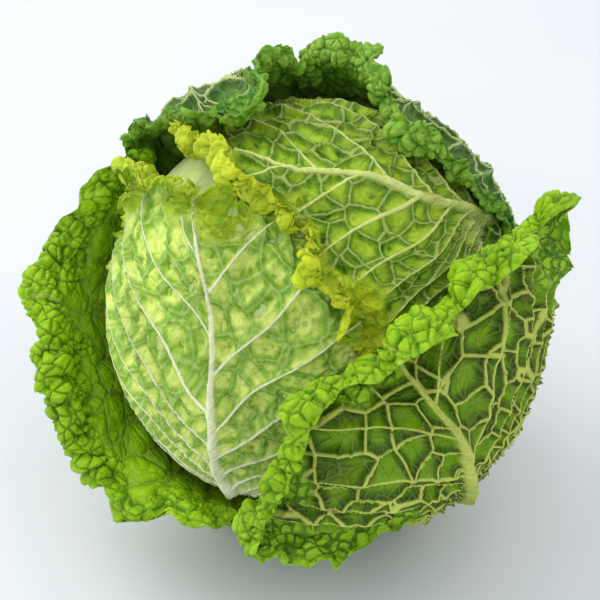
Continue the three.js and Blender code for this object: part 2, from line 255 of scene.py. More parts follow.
def disc_grid(steps):
    """A square grid laid on the unit disc, X = U sqrt(1 - V²/2) and Y = V sqrt(1 - U²/2), with
    its lines drawn together towards the rim."""
    u = np.linspace(-1, 1, steps + 1)
    u = u * (1.2 - 0.2 * u * u)
    across, along = np.meshgrid(u, u, indexing="ij")
    return across * np.sqrt(1 - along ** 2 / 2), along * np.sqrt(1 - across ** 2 / 2)


def margin_shape(leaf, angle):
    """Reach, rise, roll angle and rolled length of the leaf at each angle, with the edge's lobes."""
    reach, rise, curl = (around(leaf, column, angle) for column in (1, 2, 3))
    curl = np.maximum(curl, 0.01)
    rolled = leaf.get("roll", DEFAULT_ROLL) * curl / 180
    turn = np.radians(angle)
    edge = np.stack([reach * np.cos(turn), reach * np.sin(turn)], -1)
    ruffled = np.clip(curl / FULL_RUFFLE, 0.15, 1) * leaf["blister"]
    rolled = rolled * (1 + 0.3 * ruffled * waves(edge, 24, leaf["seed"] + 1))
    lobes = ruffled * (1.3 * waves(edge, 19, leaf["seed"] + 2)
                       + 0.9 * waves(edge, 8, leaf["seed"] + 3))
    return reach, rise, curl, rolled, lobes


def sheet(leaf, x, y):
    """The leaf's middle surface, from the head's centre. A path of length s leaves the leaf's
    middle at each angle: over the sphere, lifted by rise q^1.5 and a sine puff, and past the
    reach round an arc of radius rolled length / roll angle."""
    middle = direction(leaf["polar"], leaf["azimuth"])
    tip = direction(leaf["polar"] - 90, leaf["azimuth"])
    side = np.cross(tip, middle)
    share = np.hypot(x, y)
    angle = np.degrees(np.arctan2(y, x))
    reach, rise, curl, rolled, lobes = margin_shape(leaf, angle)
    path = share * (reach + rolled) + lobes * share ** 8
    along = np.minimum(path, reach)
    free = 1 - leaf["free"]
    q = np.clip((along / reach - leaf["free"]) / free, 0, 1)
    puff = leaf.get("puff", 0) * np.maximum(np.cos(np.radians(angle)), 0) ** 2
    height = rise * q ** 1.5 + puff * np.sin(np.pi * q) ** 2
    slope = (1.5 * rise * np.sqrt(q) + puff * np.pi * np.sin(2 * np.pi * q)) / (free * reach)
    g = (along / leaf["radius"])[..., None]
    turn = np.radians(angle)[..., None]
    out = np.cos(turn) * tip + np.sin(turn) * side
    up = np.cos(g) * middle + np.sin(g) * out
    away = np.cos(g) * out - np.sin(g) * middle
    point = (leaf["radius"] + height)[..., None] * up
    forward = unit((1 + height / leaf["radius"])[..., None] * away + slope[..., None] * up)
    over = unit(up - forward * np.sum(forward * up, -1, keepdims=True))
    radius = np.maximum(rolled, 0.001) / np.radians(curl)
    bend = np.maximum(path - reach, 0) / radius
    return (point + (radius * np.sin(bend))[..., None] * forward
            + (radius * (1 - np.cos(bend)))[..., None] * over)


def sheet_normals(leaf, x, y, step=0.004):
    """Unit normals out of the head, from the surface's differences along x and y."""
    ahead = sheet(leaf, x + step, y) - sheet(leaf, x - step, y)
    across = sheet(leaf, x, y + step) - sheet(leaf, x, y - step)
    return unit(np.cross(across, ahead))


# ---- the pattern of veins and bulges ----
def cell_walls(spots):
    """Distance from each point to the nearest wall between random cells about one unit across.
    It is worked out by the same node that the materials use, so that colour and shape agree."""
    points = spots.reshape(-1, 3)
    mesh = bpy.data.meshes.new("cells")
    mesh.vertices.add(len(points))
    mesh.vertices.foreach_set("co", points.astype(np.float32).ravel())
    holder = bpy.data.objects.new("cells", mesh)
    bpy.context.scene.collection.objects.link(holder)
    group = bpy.data.node_groups.new("cells", "GeometryNodeTree")
    group.interface.new_socket("Geometry", in_out="INPUT", socket_type="NodeSocketGeometry")
    group.interface.new_socket("Geometry", in_out="OUTPUT", socket_type="NodeSocketGeometry")
    source, result, texture, position, store = (group.nodes.new(kind) for kind in (
        "NodeGroupInput", "NodeGroupOutput", "ShaderNodeTexVoronoi", "GeometryNodeInputPosition",
        "GeometryNodeStoreNamedAttribute"))
    texture.voronoi_dimensions = "3D"
    texture.feature = "DISTANCE_TO_EDGE"
    texture.inputs["Scale"].default_value = 1
    texture.inputs["Randomness"].default_value = 1
    store.data_type = "FLOAT"
    store.domain = "POINT"
    store.inputs["Name"].default_value = "wall"
    group.links.new(source.outputs[0], store.inputs["Geometry"])
    group.links.new(position.outputs[0], texture.inputs["Vector"])
    group.links.new(texture.outputs["Distance"], store.inputs["Value"])
    group.links.new(store.outputs[0], result.inputs[0])
    holder.modifiers.new("cells", "NODES").node_group = group
    made = holder.evaluated_get(bpy.context.evaluated_depsgraph_get())
    wall = np.empty(len(points), np.float32)
    made.data.attributes["wall"].data.foreach_get("value", wall)
    bpy.data.objects.remove(holder)
    bpy.data.meshes.remove(mesh)
    bpy.data.node_groups.remove(group)
    return wall.reshape(spots.shape[:-1]).astype(float)


def vein_field(leaf, x, y):
    """Where each point lies in the leaf's pattern. With r and f the distance and angle from a
    point behind the base: the net is the square root of the plane, so that its cells grow with
    the root of r, the midrib is f = 0, and side veins are whole numbers of
    (log r + log(1 - f / limit) / bend) / gap. Side veins fade out near the base and the limit."""
    flat = np.stack([x, y], -1)
    flat = flat + 2.5 * np.stack(
        [waves(flat, 50, leaf["seed"] + 4), waves(flat, 55, leaf["seed"] + 5)], -1)
    base, tip, bow = leaf.get("veins") or (
        (-float(around(leaf, 1, np.array(180.0))), 0), (float(around(leaf, 1, np.array(0.0))), 0), 0)
    chord = np.subtract(tip, base)
    length = math.hypot(*chord)
    along = ((flat - base) @ chord) / length
    aside = ((flat - base) @ np.array([-chord[1], chord[0]])) / length
    aside = aside - 4 * bow * along * (length - along) / length ** 2
    whole = length + BASE_SETBACK
    gap = leaf.get("gap", LATERAL_GAP)
    r = np.hypot(along + BASE_SETBACK, aside)
    fan = np.arctan2(aside, along + BASE_SETBACK)
    opened = np.clip(1 - np.abs(fan) / LATERAL_LIMIT, 0.04, 1)
    lateral = (np.log(r / 20) + np.log(opened) / LATERAL_BEND) / gap + 0.25 * np.tanh(aside / 0.8)
    rise = LATERAL_LIMIT * LATERAL_BEND * opened
    mid_width = 0.65 + 2.6 * np.clip(1 - r / whole, 0, 1) ** 1.5
    side_width = 0.32 + 0.53 * np.exp(-np.abs(aside) / 35) * np.clip(1.25 - r / whole, 0.3, 1)
    faded = smooth(np.abs(fan), 0.8 * LATERAL_LIMIT, 0.95 * LATERAL_LIMIT)
    side_scale = gap * r * rise / np.sqrt(1 + rise ** 2) * (1 + 60 * faded + 60 * smooth(r, 30, 20))
    root = 2 / leaf["cell"] * np.sqrt(NET_FAR * r)
    net = np.stack([root * np.cos(fan / 2), root * np.sin(fan / 2), np.full_like(r, 0.5)], -1)
    return dict(net=net, midrib=aside / mid_width, lateral=lateral, side_scale=side_scale,
                side_width=side_width, r=r, grown=r / whole)


def leaf_relief(leaf, sizes, field, flat, rest, near):
    """How far the leaf bulges inwards and how high its veins stand outside, in millimetres, and
    how deep its soft folds are, from 0 to about 1."""
    first = cell_walls(field["net"])
    second = cell_walls(SECOND_NET * field["net"])
    bubble = cell_walls(rest)
    small = cell_walls(SMALL_BLISTER * rest)
    clump = cell_walls(CLUMP * rest)
    across = np.abs(field["lateral"] - np.round(field["lateral"])) * field["side_scale"]
    midrib = np.exp(-field["midrib"] ** 2 * 1.1)
    lateral = np.exp(-(across / (field["side_width"] + 0.5)) ** 2)
    clear = 1 - np.exp(-(across / (2.0 * field["side_width"] + 1.2)) ** 2)
    clear = clear * (1 - np.exp(-(field["midrib"] / 1.9) ** 2))
    cell = leaf["cell"] * np.sqrt(field["r"] / NET_FAR)
    quilt = sizes.quilt_share * cell * (dome(first, 0.42) + 0.33 * dome(second, 0.4))
    blisters = dome(bubble, 0.27) + 0.2 * dome(small, 0.3) + 1.6 * dome(clump, 0.42) - BLISTER_MIDDLE
    crumple = leaf.get("crumple", 0)
    folds = (0.65 * np.abs(waves(flat, 13, leaf["seed"] + 10))
             + 0.35 * np.abs(waves(flat, 5, leaf["seed"] + 11)))
    bulge = (clear * (leaf["quilt"] * quilt + crumple * folds) * (1 - near)
             + leaf["blister"] * sizes.blister_height / MM * blisters * near)
    net = sizes.vein_height / MM * leaf["quilt"] * (1 - smooth(first, 0.03, 0.16)) * (1 - near)
    fade = np.clip(1.1 - field["grown"], 0.12, 1)
    ridge = leaf["rib"] * fade * midrib + 0.32 * leaf["rib"] * fade * lateral + net
    return bulge, np.maximum(ridge, 0) * (1 - 0.8 * near), folds * min(crumple, 1) * clear


def leaf_arrays(leaf, sizes):
    """Corner points and pattern values of the outer sheet and of the inner sheet."""
    x, y = disc_grid(leaf["steps"])
    share = np.hypot(x, y)
    angle = np.degrees(np.arctan2(y, x))
    reach, _, curl, rolled, _ = margin_shape(leaf, angle)
    edge = (1 - share) * (reach + rolled)
    path = share * (reach + rolled)
    turn = np.radians(angle)
    flat = np.stack([path * np.cos(turn), path * np.sin(turn)], -1)
    field = vein_field(leaf, flat[..., 0], flat[..., 1])
    ruffled = np.clip(curl / FULL_RUFFLE, 0, 1)
    band = sizes.margin_band / MM * leaf.get("band", 1)
    band = band * (1 + 0.3 * waves(flat, 30, leaf["seed"] + 8))
    near = smooth(edge, band * ruffled, 0.6 * band * ruffled) * np.clip(1.4 * ruffled, 0, 1)
    point = sheet(leaf, x, y)
    normal = sheet_normals(leaf, x, y)
    rest = (point + 0.6 * waves(point, 9, leaf["seed"] + 9)[..., None]) / (sizes.blister_size / MM)
    bulge, ridge, folds = leaf_relief(leaf, sizes, field, flat, rest, near)
    sway = near * leaf["blister"] * (1.7 * waves(flat, 26, leaf["seed"] + 6)
                                     + 1.1 * waves(flat, 13, leaf["seed"] + 7))
    thinning = sizes.margin_thickness - sizes.leaf_thickness
    thick = (sizes.leaf_thickness + thinning * share ** 4) / MM
    shift = sway - bulge
    outer = point + normal * (shift + thick / 2 + ridge)[..., None]
    inner = point + normal * (shift - thick / 2)[..., None]
    pattern = dict(
        net=field["net"], rest=rest,
        veins=np.stack(
            [field["midrib"], field["lateral"], field["side_scale"] / field["side_width"]], -1),
        place=np.stack([edge / 20, field["grown"], near], -1),
        # folds: depth of the soft folds, which the material darkens with painted shade
        folds=np.stack([folds, folds, folds], -1))
    return outer, inner, pattern


# ---- meshes ----
def sheet_faces(rows, columns, first, flipped):
    """The quads of a grid of corner points numbered row by row from first."""
    i, j = np.meshgrid(np.arange(rows - 1), np.arange(columns - 1), indexing="ij")
    a = first + (i * columns + j).ravel()
    quads = np.stack([a, a + 1, a + columns + 1, a + columns], -1)
    return quads[:, ::-1] if flipped else quads


def rim_loop(count):
    """The corner points round the edge of a square grid, in order."""
    run = np.arange(count - 1)
    last = count - 1
    return np.concatenate([run, run * count + last, last * count + last - run, (last - run) * count])


def rim_faces(count):
    """The band of quads that joins the rims of the outer and the inner sheet."""
    loop = rim_loop(count)
    ahead = np.roll(loop, -1)
    half = count * count
    return np.stack([ahead, loop, loop + half, ahead + half], -1)


def add_mesh(name, points, quads, attributes):
    """A smooth mesh object at the origin, from points in millimetres and arrays of quads."""
    mesh = bpy.data.meshes.new(name)
    mesh.vertices.add(len(points))
    mesh.vertices.foreach_set("co", (points * MM).astype(np.float32).ravel())
    mesh.loops.add(quads.size)
    mesh.loops.foreach_set("vertex_index", quads.astype(np.int32).ravel())
    mesh.polygons.add(len(quads))
    mesh.polygons.foreach_set("loop_start", np.arange(0, quads.size, 4, dtype=np.int32))
    mesh.polygons.foreach_set("use_smooth", np.ones(len(quads), bool))
    for label, values in attributes.items():
        made = mesh.attributes.new(label, "FLOAT_VECTOR", "POINT")
        made.data.foreach_set("vector", values.astype(np.float32).ravel())
    mesh.update(calc_edges=True)
    mesh.validate()
    piece = bpy.data.objects.new(name, mesh)
    bpy.context.scene.collection.objects.link(piece)
    return piece


def make_leaf(leaf, seed, sizes):
    """A closed leaf: outer sheet, inner sheet and the band between their rims, flat where it
    lies on the table."""
    leaf = dict(leaf, seed=100 * seed)
    outer, inner, pattern = leaf_arrays(leaf, sizes)
    count = outer.shape[0]
    points = np.concatenate([outer.reshape(-1, 3), inner.reshape(-1, 3)]) + HEAD_CENTRE
    points[:, 2] = np.maximum(points[:, 2], 0)
    quads = np.concatenate([
        sheet_faces(count, count, 0, False),
        sheet_faces(count, count, count * count, True),
        rim_faces(count)])
    attributes = {label: np.tile(values.reshape(-1, 3), (2, 1)) for label, values in pattern.items()}
    side = np.concatenate([np.ones(count * count), -np.ones(count * count)])
    attributes["side"] = np.stack([side, side, side], -1)
    piece = add_mesh(leaf["name"] + "_leaf", points, quads, attributes)
    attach(piece, BODY)
    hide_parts(leaf["name"])
    return piece


# ---- shader expressions ----
class Value:
    """A shader socket, or a plain number, that adds Math nodes when it is used in arithmetic."""

    def __init__(self, shader, socket):
        self.shader = shader
        self.socket = socket

    def math(self, operation, *others):
        return self.shader.node("ShaderNodeMath", {"operation": operation}, [self, *others])

    def __add__(self, other):
        return self.math("ADD", other)

    def __sub__(self, other):
        return self.math("SUBTRACT", other)

    def __mul__(self, other):
        return self.math("MULTIPLY", other)

    def __rsub__(self, other):
        return self.shader.node("ShaderNodeMath", {"operation": "SUBTRACT"}, [other, self])

    __radd__ = __add__
    __rmul__ = __mul__

    def fade(self, start, end):
        """0 at start and 1 at end, smoothly; end may be below start."""
        return self.shader.node(
            "ShaderNodeMapRange", {"interpolation_type": "SMOOTHSTEP"},
            {"Value": self, "From Min": start, "From Max": end})


class Shader:
    """A material being built: node() adds any node, sets it up and links its sockets."""

    def __init__(self, name):
        self.material = bpy.data.materials.new(name)
        self.material.use_nodes = True
        self.tree = self.material.node_tree
        self.tree.nodes.clear()

    def node(self, kind, settings=None, inputs=(), output=0):
        node = self.tree.nodes.new(kind)
        for key, value in (settings or {}).items():
            setattr(node, key, value)
        pairs = inputs.items() if isinstance(inputs, dict) else enumerate(inputs)
        for key, value in pairs:
            if isinstance(value, Value):
                self.tree.links.new(value.socket, node.inputs[key])
            else:
                node.inputs[key].default_value = value
        return Value(self, node.outputs[output])

    def attribute(self, name):
        return self.node("ShaderNodeAttribute", {"attribute_name": name}, output="Vector")

    def parts(self, vector):
        split = self.node("ShaderNodeSeparateXYZ", None, [vector])
        outputs = split.socket.node.outputs
        return [Value(self, outputs[axis]) for axis in "XYZ"]

    def walls(self, vector, scale):
        """Distance to the nearest wall between random cells."""
        return self.node(
            "ShaderNodeTexVoronoi", {"voronoi_dimensions": "3D", "feature": "DISTANCE_TO_EDGE"},
            {"Vector": vector, "Scale": scale}, output="Distance")

    def noise(self, vector, scale, detail=3.0):
        return self.node(
            "ShaderNodeTexNoise", None, {"Vector": vector, "Scale": scale, "Detail": detail})

    def mix(self, factor, first, second):
        """Colour first at factor 0 and second at factor 1."""
        return self.node(
            "ShaderNodeMix", {"data_type": "RGBA"}, {0: factor, 6: first, 7: second}, output=2)

    def finish(self, colour, roughness, bump, depth, constants):
        """The surface itself: colour, roughness, bump of the given depth, and constants."""
        normal = self.node(
            "ShaderNodeBump", None, {"Height": bump, "Distance": depth, "Strength": 1.0})
        surface = self.node("ShaderNodeBsdfPrincipled", None, {
            "Base Color": colour, "Roughness": roughness, "Normal": normal, **constants})
        output = self.tree.nodes.new("ShaderNodeOutputMaterial")
        self.tree.links.new(surface.socket, output.inputs["Surface"])
        return self.material


def srgb(text):
    """A hex colour as the linear numbers that Blender's colours hold, with full alpha."""
    parts = [int(text[i:i + 2], 16) / 255 for i in (0, 2, 4)]
    return (*(c / 12.92 if c <= 0.04045 else ((c + 0.055) / 1.055) ** 2.4 for c in parts), 1.0)


# How strongly each look shows its net of veins and its branches, and how far up the leaf, as a
# share of its length, the base keeps the pale colour of the veins.
LEAF_LOOKS = {
    "heart": dict(net=0.3, branch=0.5, root=0.34),
    "pale": dict(net=0.15, branch=0.3, root=0.4),
    "young": dict(net=0.2, branch=1.0, root=0.3),
    "leafy": dict(net=0.5, branch=1.0, root=0.3),
    "wrapper": dict(net=1.0, branch=1.0, root=0.0),
    "outer": dict(net=1.0, branch=1.0, root=0.1),
}


def leaf_material(look):
    """A leaf: blade with painted shade beside the veins and in the folds, pale vein nets on the
    outside, a brighter inner side whose blisters part at creases of painted shade, and a tinted edge."""
    tones = getattr(colours_now(), look)
    net_strength, branch_strength, root = (LEAF_LOOKS[look][key] for key in ("net", "branch", "root"))
    s = Shader(look + "_leaf")
    net, rest = s.attribute("net"), s.attribute("rest")
    midrib, lateral, side_scale = s.parts(s.attribute("veins"))
    edge, grown, near = s.parts(s.attribute("place"))
    side = s.parts(s.attribute("side"))[0]
    folds = s.parts(s.attribute("folds"))[0]
    spot = s.node("ShaderNodeTexCoord", output="Object")
    first, second, third = s.walls(net, 1.0), s.walls(net, SECOND_NET), s.walls(net, THIRD_NET)
    bubble, small, clump = s.walls(rest, 1.0), s.walls(rest, SMALL_BLISTER), s.walls(rest, CLUMP)
    nearest = (lateral + 0.5).math("FRACT") - 0.5
    across = nearest.math("ABSOLUTE") * side_scale
    inland = 1 - near
    rib = midrib.math("ABSOLUTE").fade(1.5, 0.7) * branch_strength
    branch = across.fade(1.4, 0.6) * inland * branch_strength
    mesh = first.fade(0.055, 0.018).math("MAXIMUM", second.fade(0.07, 0.015) * 0.2)
    veins = rib.math("MAXIMUM", branch).math("MAXIMUM", mesh * inland * net_strength)
    veins = veins.math("MAXIMUM", third.fade(0.1, 0.02) * 0.06)
    outside = side.fade(-0.2, 0.2)
    patches = s.noise(spot, 28.0)
    grain = s.noise(spot, 420.0)
    # Painted shade on the outer side: the hollow colour darkens the cells beside their raised walls
    # and the depths of the soft folds, where shade falls.
    deep = (first.fade(0.26, 0.05) * 0.75 + second.fade(0.2, 0.03) * 0.25) * inland
    deep = deep.math("MAXIMUM", folds.fade(0.5, 1.2) * inland)
    back = s.mix(deep, tones.blade, tones.hollow_shade)
    # Painted shade on the outer side of the blistered margin: the crease colour between the blisters.
    back = s.mix(near, back, s.mix(bubble.fade(0.0, 0.2), tones.crease_shade, tones.edge))
    back = s.mix(veins, back, tones.vein)
    # Painted shade on the inner side: the crease colour between the blisters and towards the cell
    # walls, the inside colour on the swellings.
    unshaded = bubble.fade(0.0, 0.16) * 0.55 + small.fade(0.0, 0.2) * 0.15 + clump.fade(0.0, 0.16) * 0.3
    unshaded = unshaded * near + (first.fade(-0.1, 0.3) * 0.5 + 0.4) * inland
    front = s.mix(unshaded, tones.crease_shade, tones.inside)
    front = s.mix(veins * 0.35, front, tones.vein)
    colour = s.mix(outside, front, back)
    colour = s.mix(edge.fade(0.3, 0.0) * 0.6, colour, tones.edge)
    if root:
        colour = s.mix(grown.fade(root, root / 3) * 0.9, colour, tones.vein)
    tint = s.node("ShaderNodeMapRange", None, {
        "Value": patches, "From Min": 0.3, "From Max": 0.7, "To Min": 0.82, "To Max": 1.12})
    colour = s.node("ShaderNodeVectorMath", {"operation": "SCALE"}, {0: colour, "Scale": tint})
    roughness = 0.4 + grain * 0.14 - veins * 0.05
    turned = outside * 2 - 1
    quilted = first.fade(0.0, 0.2) * -0.5 + second.fade(0.0, 0.25) * -0.5
    pitted = quilted * inland + third.fade(0.0, 0.3) * -0.3 + small.fade(0.0, 0.4) * -0.5 * near
    height = pitted * turned + veins * turned * 0.7 + grain * 0.25
    return s.finish(colour, roughness, height, sizes_now().relief_depth, {
        "Subsurface Weight": 0.12, "Subsurface Radius": (0.004, 0.005, 0.001),
        "Subsurface Scale": 0.4,
        "Coat Weight": 0.08, "Coat Roughness": 0.15, "Specular IOR Level": 0.14})


def sizes_now():
    return bpy.context.scene.cabbage_sizes


def colours_now():
    return bpy.context.scene.cabbage_colours


def dress(pieces, material):
    """Gives each piece its one material."""
    for piece in pieces:
        piece.data.materials.append(material)


# ---- heart and stem ----
def turned_points(radius, along, turns):
    """Points of a body turned about the head's axis: rows of a profile, columns round it."""
    a = np.linspace(0, 2 * np.pi, turns, endpoint=False)
    ring = np.cos(a)[None, :, None] * FRONT + np.sin(a)[None, :, None] * RIGHT
    return radius[..., None] * ring + along[..., None] * AXIS


def turned_faces(rows, turns):
    """Quads between the rings of a turned body; the two end rings are tiny and are closed by
    a fan of quads across them."""
    i, j = np.meshgrid(np.arange(rows - 1), np.arange(turns), indexing="ij")
    a = (i * turns + j).ravel()
    b = (i * turns + (j + 1) % turns).ravel()
    body = np.stack([a, a + turns, b + turns, b], -1)
    half = turns // 2
    k = np.arange(half - 1)
    cap = np.stack([k, k + 1, turns - 2 - k, turns - 1 - k], -1)
    return np.concatenate([body, cap, cap[:, ::-1] + (rows - 1) * turns])


def turned_piece(name, node, points, rows, turns, attributes):
    """A closed turned body as a piece that stands for its CAD node."""
    piece = add_mesh(name, points.reshape(-1, 3) + HEAD_CENTRE, turned_faces(rows, turns), attributes)
    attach(piece, BODY)
    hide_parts(node)
    return piece


# ---- properties, operators and panel ----
class CabbageSizes(bpy.types.PropertyGroup):
    """Sizes of the leaves and of their relief"""
    leaf_thickness: FloatProperty(
        name="Leaf thickness", description="Thickness of a leaf near its middle",
        default=0.0013, unit="LENGTH")
    margin_thickness: FloatProperty(
        name="Margin thickness", description="Thickness of a leaf at its edge",
        default=0.0009, unit="LENGTH")
    margin_band: FloatProperty(
        name="Margin band", description="Width of the blistered band along a rolled edge",
        default=0.025, unit="LENGTH")
    blister_size: FloatProperty(
        name="Blister size", description="Distance between blisters at the margin",
        default=0.0045, unit="LENGTH")
    blister_height: FloatProperty(
        name="Blister height", description="Height of a blister at the margin",
        default=0.0021, unit="LENGTH")
    quilt_share: FloatProperty(
        name="Quilt height", description="Height of a quilted cell as a share of its width",
        default=0.24)
    vein_height: FloatProperty(
        name="Vein height", description="Height of the net of veins", default=0.0008, unit="LENGTH")
    relief_depth: FloatProperty(
        name="Relief depth", description="Depth of the finest relief", default=0.0006, unit="LENGTH")


def tone(name, text, description):
    """A colour property whose default is a hex colour."""
    return FloatVectorProperty(
        name=name, description=description, default=srgb(text), size=4, min=0, max=1, subtype="COLOR")


class HeartColours(bpy.types.PropertyGroup):
    """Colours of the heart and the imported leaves"""
    blade: tone("Blade", "dfe5a2", "Outer side, on the swellings between the veins")
    # Painted shade: the hollow colour stands for shade beside the raised veins and in the folds.
    hollow_shade: tone("Hollow", "c9d684", "Outer side, beside the veins")
    vein: tone("Vein", "f0efcb", "Midrib, side veins and net")
    edge: tone("Edge", "dcd66a", "Narrow strip along the margin")
    inside: tone("Inside", "e2e6a6", "Inner side, on the blisters")
    # Painted shade: the crease colour stands for shade between the blisters and beside the veins.
    crease_shade: tone("Crease", "c3cf7a", "Inner side, between the blisters")


class PaleColours(bpy.types.PropertyGroup):
    """Colours of the smooth leaves at the crown"""
    blade: tone("Blade", "d3e49a", "Outer side, on the swellings between the veins")
    # Painted shade: the hollow colour stands for shade beside the raised veins and in the folds.
    hollow_shade: tone("Hollow", "c2d880", "Outer side, beside the veins")
    vein: tone("Vein", "eaf0c4", "Midrib, side veins and net")
    edge: tone("Edge", "c8d25a", "Narrow strip along the margin")
    inside: tone("Inside", "d3e09a", "Inner side, on the blisters")
    # Painted shade: the crease colour stands for shade between the blisters and beside the veins.
    crease_shade: tone("Crease", "9dbb52", "Inner side, between the blisters")


class YoungColours(bpy.types.PropertyGroup):
    """Colours of the front leaf of the head"""
    blade: tone("Blade", "e0f27c", "Outer side, on the swellings between the veins")
    # Painted shade: the hollow colour stands for shade beside the raised veins and in the folds.
    hollow_shade: tone("Hollow", "7aae16", "Outer side, beside the veins")
    vein: tone("Vein", "f3f7cc", "Midrib, side veins and net")
    edge: tone("Edge", "c3dd38", "Narrow strip along the margin")
    inside: tone("Inside", "cfe03c", "Inner side, on the blisters")
    # Painted shade: the crease colour stands for shade between the blisters and beside the veins.
    crease_shade: tone("Crease", "a0c62c", "Inner side, between the blisters")


class LeafyColours(bpy.types.PropertyGroup):
    """Colours of the top leaf of the head"""
    blade: tone("Blade", "b2d432", "Outer side, on the swellings between the veins")
    # Painted shade: the hollow colour stands for shade beside the raised veins and in the folds.
    hollow_shade: tone("Hollow", "4a7c04", "Outer side, beside the veins")
    vein: tone("Vein", "d9e488", "Midrib, side veins and net")
    edge: tone("Edge", "cddb2a", "Narrow strip along the margin")
    inside: tone("Inside", "cbdc30", "Inner side, on the blisters")
    # Painted shade: the crease colour stands for shade between the blisters and beside the veins.
    crease_shade: tone("Crease", "9dbb1e", "Inner side, between the blisters")


class WrapperColours(bpy.types.PropertyGroup):
    """Colours of the bright wrapper leaves"""
    blade: tone("Blade", "7cac12", "Outer side, on the swellings between the veins")
    # Painted shade: the hollow colour stands for shade beside the raised veins and in the folds.
    hollow_shade: tone("Hollow", "1a3e01", "Outer side, beside the veins")
    vein: tone("Vein", "c4d160", "Midrib, side veins and net")
    edge: tone("Edge", "9fce28", "Narrow strip along the margin")
    inside: tone("Inside", "a4d41a", "Inner side, on the blisters")
    # Painted shade: the crease colour stands for shade between the blisters and beside the veins.
    crease_shade: tone("Crease", "3f7603", "Inner side, between the blisters")


class OuterColours(bpy.types.PropertyGroup):
    """Colours of the dark wrapper leaves"""
    blade: tone("Blade", "5c8c28", "Outer side, on the swellings between the veins")
    # Painted shade: the hollow colour stands for shade beside the raised veins and in the folds.
    hollow_shade: tone("Hollow", "2a560e", "Outer side, beside the veins")
    vein: tone("Vein", "b8cc7c", "Midrib, side veins and net")
    edge: tone("Edge", "7aae2c", "Narrow strip along the margin")
    inside: tone("Inside", "98c648", "Inner side, on the blisters")
    # Painted shade: the crease colour stands for shade between the blisters and beside the veins.
    crease_shade: tone("Crease", "34700e", "Inner side, between the blisters")


class CabbageColours(bpy.types.PropertyGroup):
    """Colours of the leaves, the stem and the floor"""
    heart: PointerProperty(type=HeartColours, name="Heart", description="Heart and packed leaves")
    pale: PointerProperty(type=PaleColours, name="Pale", description="Smooth leaves at the crown")
    young: PointerProperty(type=YoungColours, name="Young", description="Front leaf of the head")
    leafy: PointerProperty(type=LeafyColours, name="Leafy", description="Top leaf of the head")
    wrapper: PointerProperty(type=WrapperColours, name="Wrapper", description="Bright wrapper leaves")
    outer: PointerProperty(type=OuterColours, name="Outer", description="Dark wrapper leaves")
    stalk: tone("Stalk", "dfe0b4", "Flesh of the stem")
    stalk_patch: tone("Stalk patches", "c2c88c", "Greener patches of the stem")
    stalk_fibre: tone("Stalk fibres", "a58f62", "Dry fibres of the stem")
    floor: tone("Floor", "e5e8ec", "Floor under the head")
    floor_patch: tone("Floor patches", "dde2e8", "Faint patches of the floor")


LEAF_COLOURS = (HeartColours, PaleColours, YoungColours, LeafyColours, WrapperColours, OuterColours)


class CABBAGE_OT_heart(bpy.types.Operator):
    """Adds the heart of packed young leaves"""
    bl_idname = "cabbage.heart"
    bl_label = "Heart"

    def execute(self, context):
        rows, turns = 90, 120
        polar = np.linspace(0.01, np.pi - 0.01, rows)[:, None] * np.ones((1, turns))
        a = np.linspace(0, 2 * np.pi, turns, endpoint=False)[None, :]
        fold = (3 * a / (2 * np.pi) + polar / 1.7) % 1.0
        step = 0.03 * smooth(fold, 0.0, 0.9) - 0.03 * smooth(fold, 0.92, 1.0)
        radius = HEART_RADIUS * (0.965 + step)
        points = turned_points(radius * np.sin(polar), radius * np.cos(polar), turns)
        flat = points.reshape(-1, 3)
        veins = np.stack([np.full(len(flat), 9.0), flat[:, 0] / 14, np.full(len(flat), 8.0)], -1)
        attributes = dict(
            net=flat / 8, veins=veins, rest=flat / 5, place=flat * 0 + [1, 1, 0], folds=flat * 0,
            side=np.ones_like(flat))
        piece = turned_piece("heart_ball", "heart", points, rows, turns, attributes)
        dress([piece], leaf_material("heart"))
        return {"FINISHED"}


class CABBAGE_OT_stem(bpy.types.Operator):
    """Adds the cut stem"""
    bl_idname = "cabbage.stem"
    bl_label = "Stem"

    def execute(self, context):
        rows, turns = 111, 96
        radii, heights = zip(
            (0.2, STEM_FOOT), (6, STEM_FOOT), (12.6, STEM_FOOT), (14.2, STEM_FOOT + 0.5),
            (15, STEM_FOOT + 1.6), (15, STEM_FOOT + 8), (14.4, STEM_FOOT + 14),
            (13, STEM_FOOT + 20), (12, STEM_TOP - 6), (11, STEM_TOP - 1), (9.5, STEM_TOP),
            (0.2, STEM_TOP))
        stations = np.linspace(0, len(radii) - 1, rows)
        r, h = (np.interp(stations, range(len(radii)), values)[:, None] * np.ones((1, turns))
                for values in (radii, heights))
        points = turned_points(r, h, turns)
        bumps = waves(points.reshape(-1, 3), 6, 7).reshape(r.shape) * smooth(r, 6, 14) * 0.35
        points = turned_points(r + bumps - 0.35, h, turns)
        piece = turned_piece("stem_stalk", "stem", points[::-1], rows, turns, {})
        dress([piece], stem_material())
        return {"FINISHED"}


def stem_material():
    """Pale stalk with greener patches and dry brown fibres."""
    s = Shader("stem_stalk")
    spot = s.node("ShaderNodeTexCoord", output="Object")
    fibre = s.noise(spot, 260.0, 5.0)
    patches = s.noise(spot, 60.0)
    colours = colours_now()
    colour = s.mix(patches.fade(0.35, 0.7), colours.stalk, colours.stalk_patch)
    colour = s.mix(fibre.fade(0.55, 0.8) * 0.5, colour, colours.stalk_fibre)
    return s.finish(colour, 0.5 + fibre * 0.2, fibre, 0.0005, {"Subsurface Weight": 0.1})


def add_leaves(leaves, first_seed):
    """Makes leaves and shares one material among those of the same look."""
    made = {}
    for number, leaf in enumerate(leaves):
        made.setdefault(leaf["look"], []).append(make_leaf(leaf, first_seed + number, sizes_now()))
    for look, pieces in made.items():
        dress(pieces, leaf_material(look))


